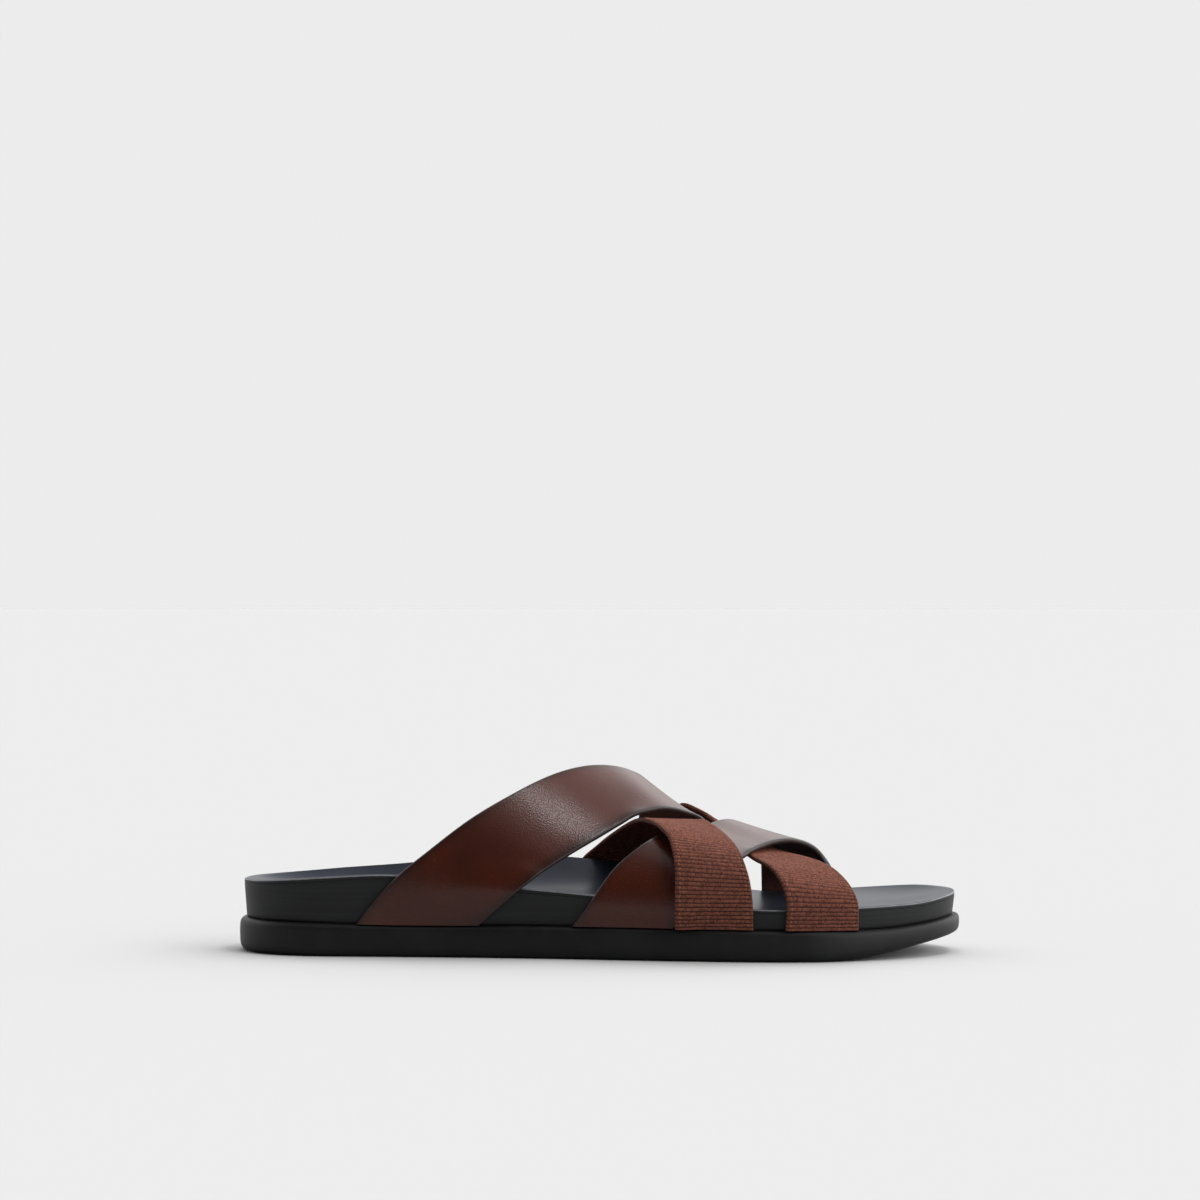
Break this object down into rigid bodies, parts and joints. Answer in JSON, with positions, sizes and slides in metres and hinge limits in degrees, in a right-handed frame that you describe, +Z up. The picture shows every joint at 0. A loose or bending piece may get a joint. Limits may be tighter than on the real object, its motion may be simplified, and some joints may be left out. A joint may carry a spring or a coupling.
{
  "type": "slide sandal",
  "caption": "Right slide sandal: a contoured footbed on a rubber sole, with leather and elastic straps woven over the instep and open at heel and toe.",
  "frame": {"origin": "on the ground, under the middle of the sandal's bounding box", "axes": "+X toward the toe, +Y toward the inner (big toe) side, +Z up"},
  "size_m": [0.29, 0.1058, 0.0744],
  "materials": {
    "black_rubber": "matt moulded",
    "dark_grey_foam": "satin, fine grain",
    "slate_cover": "smooth satin cover",
    "dark_brown_leather": "semi-gloss, painted edges",
    "dark_brown_leather_front": "semi-gloss, painted edges",
    "brown_elastic": "ribbed woven elastic",
    "brown_elastic_front": "ribbed woven elastic"
  },
  "bodies": {
    "root": {"outsole": "black_rubber", "footbed": "dark_grey_foam", "insole": "slate_cover", "strap_rear_leather": "dark_brown_leather", "strap_front_leather": "dark_brown_leather_front", "strap_rear_elastic": "brown_elastic", "strap_front_elastic": "brown_elastic_front"}
  },
  "joints": []
}
